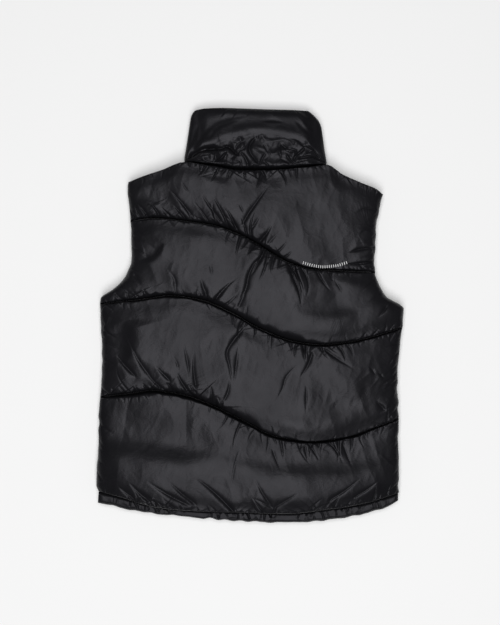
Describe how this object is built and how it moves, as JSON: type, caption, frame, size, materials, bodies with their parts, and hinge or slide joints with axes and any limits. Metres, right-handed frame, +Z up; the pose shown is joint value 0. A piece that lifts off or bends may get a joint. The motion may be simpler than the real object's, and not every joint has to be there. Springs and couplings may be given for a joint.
{
  "type": "puffer vest",
  "caption": "Sleeveless padded vest with a funnel collar and wave-shaped quilting, lying flat on its front with the back up.",
  "frame": {"origin": "centre of the bounding box at the ground the vest lies on", "axes": "+X to the wearer's right, +Y from the hem to the collar, +Z up from the ground, out of the vest's back"},
  "size_m": [0.5761, 0.776, 0.068],
  "materials": {
    "shell_cloth": "glossy black down-proof nylon over padding",
    "hem_cloth": "gathered band of the same black nylon",
    "zip_tape": "matt black woven tape",
    "zip_plastic": "moulded black plastic teeth",
    "zip_metal": "black painted slider and pull"
  },
  "bodies": {
    "vest": {"back_yoke": "shell_cloth", "back_upper": "shell_cloth", "back_lower": "shell_cloth", "back_hem_panel": "shell_cloth", "collar": "shell_cloth", "front_left": "shell_cloth", "front_right": "shell_cloth", "hem_band_back": "hem_cloth", "hem_band_front_left": "hem_cloth", "hem_band_front_right": "hem_cloth", "zip_tape_left": "zip_tape", "zip_tape_right": "zip_tape", "zip_teeth": "zip_plastic", "zip_box": "zip_plastic", "zip_slider": "zip_metal"},
    "zip_pull": {"zip_pull": "zip_metal"}
  },
  "joints": [
    {"name": "pull_swing", "type": "hinge", "parent": "vest", "child": "zip_pull", "pos_m": [0, 0.322, 0.015], "axis": [1, 0, 0], "range_deg": [-28, 137]}
  ]
}
